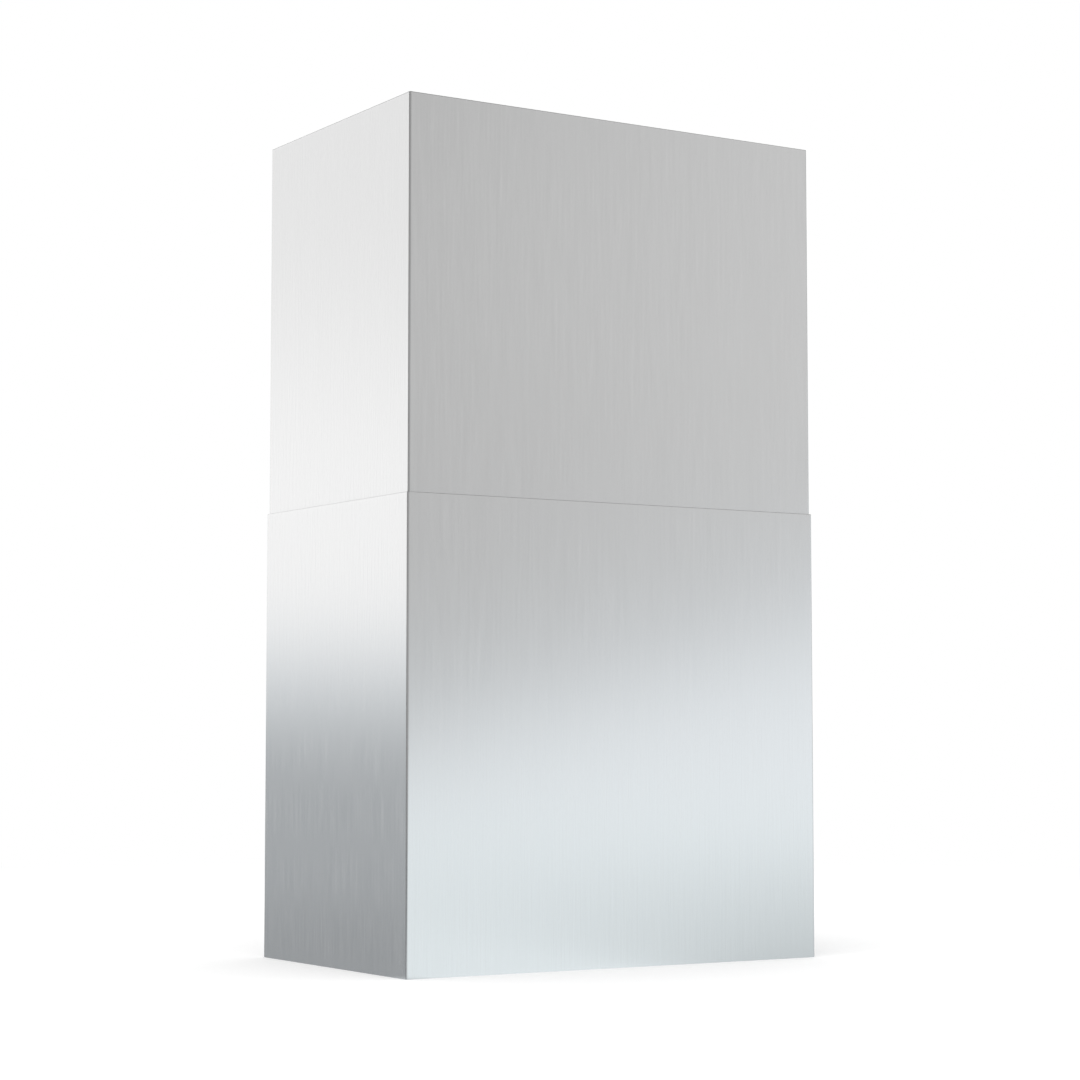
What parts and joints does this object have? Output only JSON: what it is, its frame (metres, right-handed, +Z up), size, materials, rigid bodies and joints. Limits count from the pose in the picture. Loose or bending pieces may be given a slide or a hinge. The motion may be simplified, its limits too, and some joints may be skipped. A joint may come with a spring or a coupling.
{
  "type": "cooker hood chimney section",
  "caption": "Telescopic chimney cover for a wall cooker hood: a folded stainless sleeve slides in a wider one, both open at the back, on a hooked wall bracket.",
  "frame": {"origin": "middle of the foot of the lower sleeve, on the plane where it stands on the hood", "axes": "+Z up along the chimney, +Y towards the wall, -Y towards the room, +X to the right seen from the room"},
  "size_m": [0.4, 0.25, 0.7],
  "materials": {
    "brushed_stainless": "fine upright grain, satin",
    "galvanised": "zinc coated, matt with fine spangle",
    "felt": "pressed felt strip"
  },
  "bodies": {
    "lower": {"lower_sleeve": "brushed_stainless", "lower_rear_angle": "galvanised", "left_foot_angle": "galvanised", "right_foot_angle": "galvanised", "front_left_glide": "felt", "front_right_glide": "felt", "left_glide": "felt", "right_glide": "felt", "rear_left_glide": "felt", "rear_right_glide": "felt"},
    "upper": {"upper_sleeve": "brushed_stainless", "upper_tie_strap": "galvanised", "wall_bracket": "galvanised"}
  },
  "joints": [
    {"name": "chimney_slide", "type": "slide", "parent": "lower", "child": "upper", "axis": [0, 0, 1], "range_m": [-0.284, 0.04]}
  ]
}
